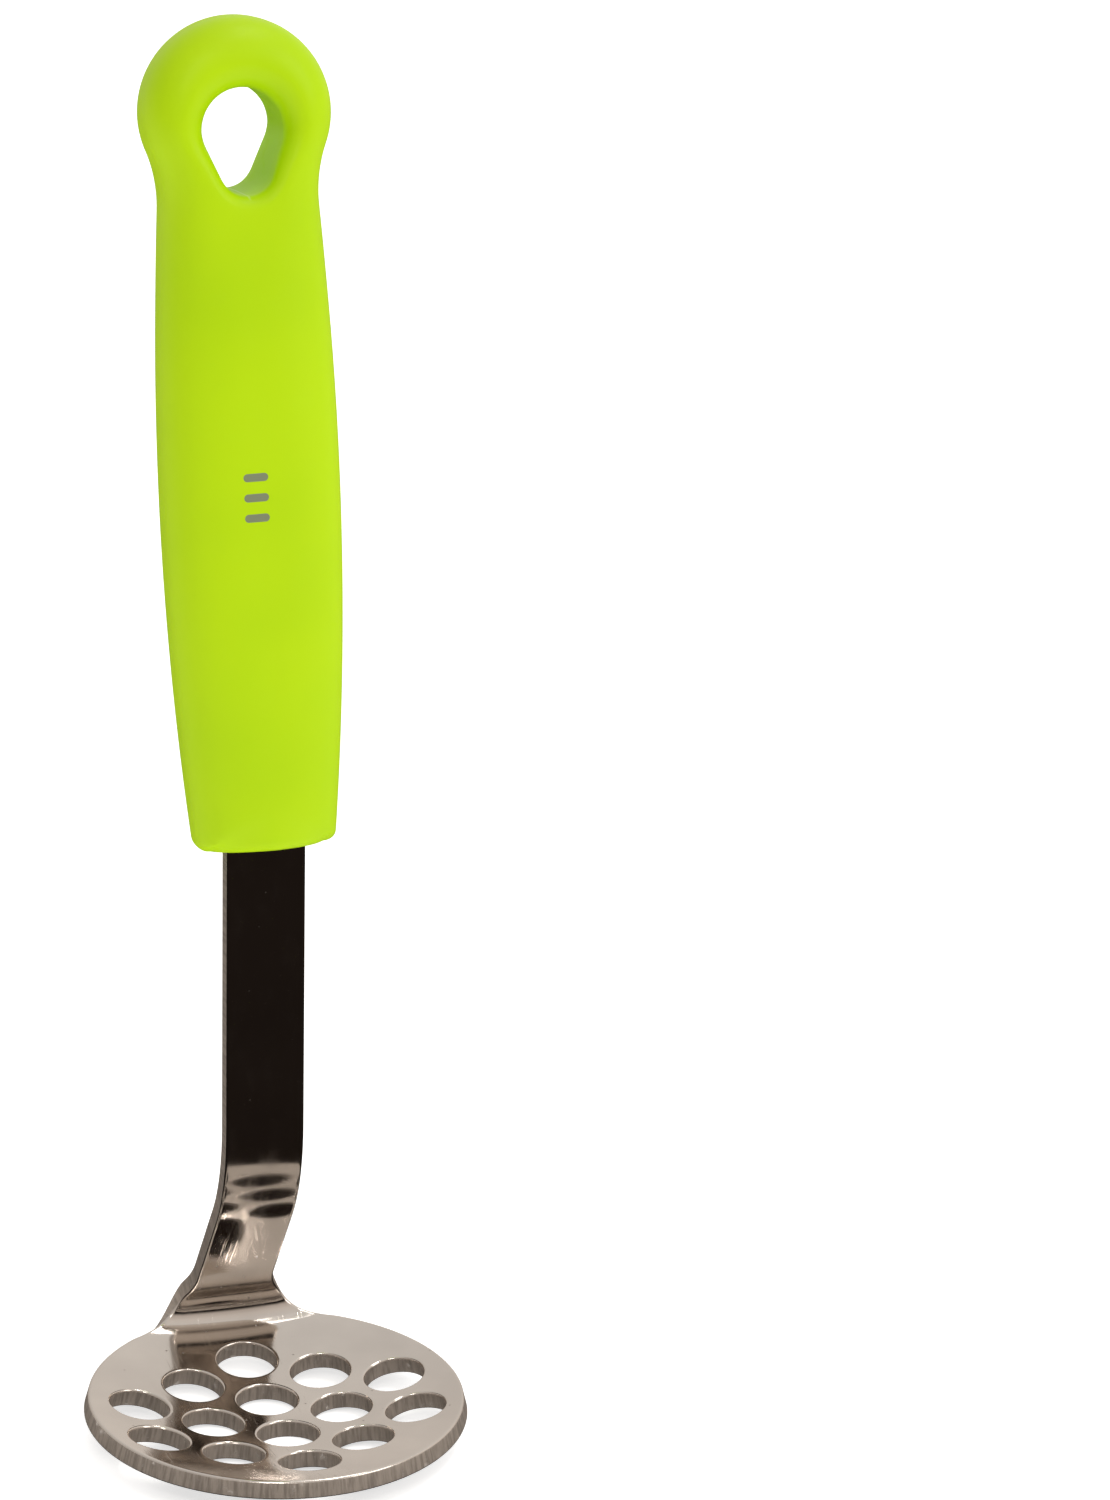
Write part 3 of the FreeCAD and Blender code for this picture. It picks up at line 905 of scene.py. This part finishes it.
    def forming_tree(self, origin: Vector) -> Tuple[Any, Dict[str, float]]:
        """Build the Geometry Nodes tree that dishes and bends the flat blank.

        Args:
            origin: where the middle of the hole pattern goes, in metres.

        Returns:
            The node group and the value of each of its named inputs.
        """
        group = bpy.data.node_groups.new("form_blank", "GeometryNodeTree")
        face = group.interface
        face.new_socket(name="Blank", in_out="INPUT", socket_type="NodeSocketGeometry")
        values: Dict[str, float] = {"Origin Y": origin.y, "Origin Z": origin.z}
        for name, length, curvature in self.runs():
            values[name + " Length"] = length * MM
            if curvature:
                values[name + " Radius"] = MM / curvature
        for name in values:
            face.new_socket(name=name, in_out="INPUT", socket_type="NodeSocketFloat")
        face.new_socket(name="Steel", in_out="INPUT", socket_type="NodeSocketMaterial")
        face.new_socket(name="Blade", in_out="OUTPUT", socket_type="NodeSocketGeometry")
        tree = Tree(group)
        source = group.nodes.new("NodeGroupInput")
        sizes = {name: Link(tree, source.outputs[name]) for name in values}
        blank, steel = (Link(tree, source.outputs[name]) for name in ("Blank", "Steel"))
        placed = tree.link("GeometryNodeSetPosition", None,
                           {"Geometry": blank, "Position": self.form(tree, sizes)})
        real = tree.link("GeometryNodeRealizeInstances", None, {0: placed})
        dressed = tree.link("GeometryNodeSetMaterial", None, {"Geometry": real, "Material": steel})
        tree.feed(group.nodes.new("NodeGroupOutput"), {"Blade": dressed})
        return group, values

    def build(self) -> bpy.types.Object:
        """Punch, form and dress the blade, and let it stand for the CAD's blade."""
        low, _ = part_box("blade")
        front = self.disc_offset - self.disc_radius
        angle = front / self.dish_radius
        lower_radius = self.dish_radius + self.thickness
        origin = Vector((0.0, low[1] - lower_radius * math.sin(angle) * MM, self.thickness * MM))
        flat = self.flat_blank()
        group, values = self.forming_tree(origin)
        steel = self.finish.make()
        modifier = flat.modifiers.new("form_blank", "NODES")
        modifier.node_group = group
        sockets = {item.name: item.identifier for item in group.interface.items_tree
                   if item.in_out == "INPUT"}
        for name, value in values.items():
            modifier[sockets[name]] = value
        modifier[sockets["Steel"]] = steel
        piece = plain_mesh(flat)
        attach(piece, "root")
        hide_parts("blade")
        return piece


def plain_mesh(piece: bpy.types.Object) -> bpy.types.Object:
    """Turn a piece with a live modifier into a plain mesh and remove the modifier.

    Args:
        piece: the object with the modifier.

    Returns:
        The same object with its final mesh.
    """
    bpy.context.view_layer.update()
    evaluated = piece.evaluated_get(bpy.context.evaluated_depsgraph_get())
    mesh = bpy.data.meshes.new_from_object(evaluated)
    piece.modifiers.clear()
    piece.data = mesh
    mesh.shade_smooth()
    return piece


# --- The handle ----------------------------------------------------------------------------

@dataclass
class Handle:
    """The moulded grip with its hanging loop (millimetres, along the leaning handle).

    The front view's outline has a bulging side, a waist and a loop. Each half rises from the
    parting plane with a full, rounded edge, which is broad along the grip and smaller round
    the loop, and it drops into the hanging hole over a rim of its own.
    """

    length: float = 106.95
    mouth_radius: float = 1.9
    side_radius: float = 450.0
    bulge_height: float = 47.0
    grip_width: float = 23.2
    loop_radius: float = 12.2
    waist_radius: float = 17.0
    thickness: float = 14.8
    face_radius: float = 1400.0
    crown_share: float = 0.93
    eye_radius: float = 5.3
    eye_tip_radius: float = 3.6
    eye_height: float = 13.5
    eye_drop: float = 1.95
    eye_rounding: float = 3.4
    tip_rounding: float = 1.8
    mouth_rounding: float = 1.9
    fullness: float = 2.6
    mouth_fullness: float = 3.2
    print_across: float = -1.1
    print_height: float = 46.5
    print_pitch: float = 2.6
    blend_start: float = 69.0
    blend_length: float = 20.0
    loop_rounding: float = 6.2
    spacing: float = 0.8
    curve_spacing: float = 0.6
    corner_spacing: float = 0.35
    eye_side_spacing: float = 0.5
    arch_spacing: float = 0.4
    tip_spacing: float = 0.3
    edge_insets: Tuple[float, ...] = (0.0, 0.02, 0.07, 0.16, 0.3, 0.5, 0.78, 1.15, 1.6)
    rim_insets: Tuple[float, ...] = (0.0, 0.03, 0.09, 0.2, 0.36, 0.58, 0.86, 1.2, 1.6)
    wall_shares: Tuple[float, ...] = (0.6, 0.2, -0.2, -0.6)
    finish: MouldedPlastic = field(default_factory=MouldedPlastic)

    def side_runs(self) -> List[List[Flat]]:
        """Return the right side's runs: mouth corner, bulging side, waist, half loop."""
        corner, side, waist, loop = self.mouth_radius, self.side_radius, self.waist_radius, self.loop_radius
        bulge = (self.grip_width / 2 - side, self.bulge_height)
        top = (0.0, self.length - loop)
        foot = (bulge[0] + math.sqrt((side - corner) ** 2 - (bulge[1] - corner) ** 2), corner)
        span = math.dist(bulge, top)
        along = ((side + waist) ** 2 - (loop + waist) ** 2 + span ** 2) / (2 * span)
        off = math.sqrt((side + waist) ** 2 - along ** 2)
        unit = ((top[0] - bulge[0]) / span, (top[1] - bulge[1]) / span)
        neck = (bulge[0] + along * unit[0] + off * unit[1], bulge[1] + along * unit[1] - off * unit[0])

        def bearing(start: Flat, end: Flat) -> float:
            """Return the angle of the line between two points."""
            return math.atan2(end[1] - start[1], end[0] - start[0])

        step = self.curve_spacing
        return [
            arc_points(foot, corner, -QUARTER, bearing(bulge, foot), self.corner_spacing),
            arc_points(bulge, side, bearing(bulge, foot), bearing(bulge, neck), self.spacing),
            arc_points(neck, waist, bearing(neck, bulge) + 2 * math.pi, bearing(neck, top), step),
            arc_points(top, loop, bearing(top, neck), QUARTER, step),
        ]

    def outline(self) -> np.ndarray:
        """Return the handle's outline from the front, counter-clockwise."""
        right = self.side_runs()
        left = [[(-x, y) for x, y in reversed(run)] for run in reversed(right)]
        foot = right[0][0]
        base = line_points((-foot[0], 0.0), (foot[0], 0.0), self.curve_spacing)
        return join_runs([base] + right + left)

    def flanks(self) -> np.ndarray:
        """Return the outline without its flat base, as an open line."""
        right = [point for run in self.side_runs() for point in run]
        left = [(-x, y) for x, y in reversed(right)]
        return np.array(right + left[1:])

    def eye_centre(self) -> float:
        """Return the height of the hanging hole's arch centre."""
        return self.length - self.loop_radius - self.eye_drop

    def eye_outline(self) -> np.ndarray:
        """Return the hanging hole's outline, counter-clockwise."""
        centre = self.eye_centre()
        spacing = self.eye_height - self.eye_radius - self.eye_tip_radius
        lean = math.asin((self.eye_radius - self.eye_tip_radius) / spacing)
        arch = arc_points((0, centre), self.eye_radius, -lean, math.pi + lean, self.arch_spacing)
        tip = arc_points((0, centre - spacing), self.eye_tip_radius, math.pi + lean,
                         2 * math.pi - lean, self.tip_spacing)
        falling = line_points(arch[-1], tip[0], self.eye_side_spacing)
        rising = line_points(tip[-1], arch[0], self.eye_side_spacing)
        return join_runs([arch, falling, tip, rising])

    @staticmethod
    def swell(distance: np.ndarray, radius: Union[float, np.ndarray], fullness: float) -> np.ndarray:
        """Return how far a rounded edge has risen, from 0 at the edge to 1 at its radius.

        Args:
            distance: distance from the edge.
            radius: where the edge ends.
            fullness: 2 for a quarter ellipse, more for a fuller edge.

        Returns:
            The share of the full height.
        """
        left = 1 - np.clip(distance / radius, 0, 1)
        return (1 - left ** fullness) ** (1 / fullness)

    def half_depth(self, points: np.ndarray) -> np.ndarray:
        """Return how far the front face stands before the parting plane at each point.

        Args:
            points: places across and along the handle.

        Returns:
            One depth for each point.
        """
        height = points[:, 1]
        slab = self.thickness / 2 - (height - self.bulge_height) ** 2 / (2 * self.face_radius)
        side = distance_to_outline(points, self.flanks(), closed=False)
        in_loop = smoothstep((height - self.blend_start) / self.blend_length)
        grip_rounding = self.grip_width / 2 * self.crown_share
        radius = grip_rounding * (1 - in_loop) + self.loop_rounding * in_loop
        rise = self.swell(side, radius, self.fullness)
        mouth = self.swell(height, self.mouth_rounding, self.mouth_fullness)
        eye = distance_to_outline(points, self.eye_outline())
        half_eye = self.eye_height / 2
        in_arch = np.clip((height - self.eye_centre() + half_eye) / half_eye, 0, 1)
        rounding = self.tip_rounding + (self.eye_rounding - self.tip_rounding) * in_arch
        left = 1 - np.clip(eye / rounding, 0, 1)
        drop = rounding * (1 - np.sqrt(1 - left ** 2))
        return slab * rise * mouth - drop

    def frame_from_mount(self) -> Matrix:
        """Return the handle's place: its mouth, leaning as the hanging hole's axis says."""
        mount = next(m for m in frame["record"]["mounts"] if m["name"] == "hang_hole")
        axis = Vector(mount["axis"])
        lean = math.asin(axis.z)
        turn = Matrix.Rotation(-lean, 4, "X")
        eye = Vector(mount["pos_m"])
        mouth = eye - turn @ Vector((0.0, 0.0, self.eye_centre() * MM))
        return Matrix.Translation(mouth) @ turn

    def stand(self, flat: np.ndarray, share: float) -> List[Vector]:
        """Place points of the front view on the handle.

        Args:
            flat: points across and along the handle.
            share: 1 for the front face, -1 for the back, and less for the space between.

        Returns:
            The points in metres, in the object's frame.
        """
        out = self.half_depth(flat) * share
        place = self.frame_from_mount() @ Matrix.Scale(MM, 4)
        return [place @ Vector((x, -y, z)) for (x, z), y in zip(flat, out)]

    def climb(self, surface: Surface, rings: Sequence[np.ndarray], inner: int, side: int,
              flip: bool) -> int:
        """Add one half's rings from its face out to an edge.

        Args:
            surface: the surface to add to.
            rings: the rings in order.
            inner: the first vertex of the ring that they start from.
            side: 1 for the front half, -1 for the back half.
            flip: whether the faces point the other way.

        Returns:
            The first vertex of the last ring.
        """
        for ring in rings:
            first = surface.add(self.stand(ring, side))
            surface.bridge(first, inner, len(ring), flip)
            inner = first
        return inner

    def mould(self) -> bpy.types.Object:
        """Build the handle's closed mesh: two faces, the parting line and the hole's wall."""
        outer, eye = self.outline(), self.eye_outline()
        out_normal, eye_normal = closed_outline_normals(outer), -closed_outline_normals(eye)
        outer_rings = [outer - out_normal * inset for inset in self.edge_insets]
        eye_rings = [eye - eye_normal * inset for inset in self.rim_insets]
        points, triangles = fill_between([outer_rings[-1], eye_rings[-1]], self.spacing)
        surface = Surface()
        seam = surface.add(self.stand(outer, 0.0))
        rims: List[int] = []
        for side in (1, -1):
            face = surface.add(self.stand(points, side))
            surface.cover(triangles, face, flip=side < 0)
            edge = self.climb(surface, outer_rings[-2:0:-1], face, side, flip=side < 0)
            surface.bridge(seam, edge, len(outer), flip=side < 0)
            rims.append(self.climb(surface, eye_rings[-2::-1], face + len(outer), side, flip=side > 0))
        above = rims[0]
        for share in self.wall_shares:
            below = surface.add(self.stand(eye, share))
            surface.bridge(below, above, len(eye), flip=True)
            above = below
        surface.bridge(rims[1], above, len(eye), flip=True)
        return surface.build("handle")

    def build(self) -> bpy.types.Object:
        """Mould and dress the handle, and let it stand for the CAD's handle."""
        piece = self.mould()
        low = self.eye_centre() + self.eye_radius - self.eye_height
        weld = ((low - self.tip_rounding / 3) * MM, (low + self.eye_tip_radius / 4) * MM)
        bars = [(self.print_across * MM, (self.print_height + row * self.print_pitch) * MM)
                for row in range(-1, 2)]
        piece.data.materials.append(self.finish.make(self.frame_from_mount(), weld, bars))
        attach(piece, "root")
        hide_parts("handle")
        return piece


# --- The studio ----------------------------------------------------------------------------

@dataclass(frozen=True)
class Softbox:
    """One rectangular area light: metres, watts and colour."""

    name: str
    place: Tuple[float, float, float]
    size: Tuple[float, float]
    power: float
    color: Color = (1.0, 0.98, 0.96)

    def add(self, aim: Vector) -> None:
        """Hang the light where it belongs, facing a point.

        Args:
            aim: the point it faces.
        """
        data = bpy.data.lights.new(self.name, "AREA")
        data.shape = "RECTANGLE"
        data.size, data.size_y = self.size
        data.energy = self.power
        data.color = self.color
        light = bpy.data.objects.new(self.name, data)
        light.location = self.place
        light.rotation_euler = (aim - Vector(self.place)).to_track_quat("-Z", "Y").to_euler()
        bpy.context.scene.collection.objects.link(light)


@dataclass
class Studio:
    """Camera, floor, room and soft lights (metres and degrees)."""

    camera_place: Tuple[float, float, float] = (-0.24237, -0.83843, 0.44234)
    camera_azimuth: float = 18.47
    camera_elevation: float = 21.68
    camera_roll: float = 1.64
    lens: float = 176.8
    sensor_width: float = 36.0
    clip_end: float = 20.0
    floor_size: float = 4.0
    floor_color: Color = (0.80, 0.80, 0.80)
    floor_roughness: float = 0.8
    floor_glow: float = 0.82
    room_stops: Tuple[Tuple[float, Color], ...] = (
        (0.0, (0.014, 0.010, 0.008)),
        (0.44, (0.016, 0.012, 0.010)),
        (0.53, (0.62, 0.56, 0.51)),
        (0.70, (0.80, 0.75, 0.70)),
        (1.0, (0.86, 0.85, 0.83)),
    )
    room_strength: float = 0.92
    room_side_gain: float = 0.24
    room_back_tilt: float = 0.22
    aim: Tuple[float, float, float] = (0.0, 0.0, 0.09)
    lights: Tuple[Softbox, ...] = (
        Softbox("key", (0.95, -0.85, 0.75), (0.6, 0.6), 3.2),
        Softbox("overhead", (0.36, 0.12, 1.15), (0.5, 0.3), 1.5),
        Softbox("lamp", (0.33, -0.22, 1.13), (0.12, 0.12), 1.0),
        Softbox("heel_light", (-0.3, -0.9, 0.95), (0.3, 0.2), 1.6),
    )

    def add_camera(self) -> None:
        """Set the camera at the viewing angle."""
        azimuth, elevation = math.radians(self.camera_azimuth), math.radians(self.camera_elevation)
        roll = math.radians(self.camera_roll)
        ahead = Vector((math.sin(azimuth) * math.cos(elevation),
                        math.cos(azimuth) * math.cos(elevation), -math.sin(elevation)))
        right = Vector((math.cos(azimuth), -math.sin(azimuth), 0.0))
        up = right.cross(ahead)
        tilted_right = math.cos(roll) * right + math.sin(roll) * up
        tilted_up = -math.sin(roll) * right + math.cos(roll) * up
        data = bpy.data.cameras.new("camera")
        data.lens = self.lens
        data.sensor_width = self.sensor_width
        data.clip_end = self.clip_end
        camera = bpy.data.objects.new("camera", data)
        bpy.context.scene.collection.objects.link(camera)
        turn = Matrix((tilted_right, tilted_up, -ahead)).transposed().to_4x4()
        camera.matrix_world = Matrix.Translation(self.camera_place) @ turn
        bpy.context.scene.camera = camera

    def add_floor(self) -> None:
        """Lay the plain pale floor, lit from below like a light table."""
        material, _, shader = start_material("floor")
        shader.inputs["Base Color"].default_value = (*self.floor_color, 1.0)
        shader.inputs["Roughness"].default_value = self.floor_roughness
        shader.inputs["Emission Color"].default_value = (*self.floor_color, 1.0)
        shader.inputs["Emission Strength"].default_value = self.floor_glow
        surface = Surface()
        half = self.floor_size / 2
        surface.add([(-half, -half, 0), (half, -half, 0), (half, half, 0), (-half, half, 0)])
        surface.faces.append((0, 1, 2, 3))
        floor = surface.build("floor")
        floor.data.materials.append(material)
        floor.visible_glossy = False

    def add_world(self) -> None:
        """Light the room: dark in front and below, warm light grey behind and above."""
        world = bpy.data.worlds.new("room")
        world.use_nodes = True
        bpy.context.scene.world = world
        tree = Tree(world.node_tree)
        ray = tree.link("ShaderNodeTexCoord", output="Generated")
        parts = tree.node("ShaderNodeSeparateXYZ", None, {0: ray})
        sideways, behind, height = (Link(tree, socket) for socket in parts.outputs)
        upward = (height + self.room_back_tilt * behind) * 0.5 + 0.5
        tree.feed(world.node_tree.nodes["Background"], {
            "Color": tree.link("ShaderNodeValToRGB", {"ramp": self.room_stops}, {0: upward}),
            "Strength": self.room_strength + self.room_side_gain * sideways,
        })

    def build(self) -> None:
        """Set up the whole studio."""
        bpy.context.scene.view_settings.view_transform = "Standard"
        self.add_camera()
        self.add_floor()
        self.add_world()
        for light in self.lights:
            light.add(Vector(self.aim))


# --- Assembly ------------------------------------------------------------------------------

def report(piece: bpy.types.Object) -> None:
    """Log one finished piece.

    Args:
        piece: the object to report.
    """
    LOG.info("%s: %d faces, %.1f mm high", piece.name, len(piece.data.polygons),
             piece.dimensions.z / MM)


def main() -> None:
    """Build the studio and the masher's two pieces."""
    logging.basicConfig(level=logging.INFO, format="%(name)s %(message)s")
    Studio().build()
    for maker in (Blade(), Handle()):
        report(maker.build())


if __name__ == "__main__":
    main()
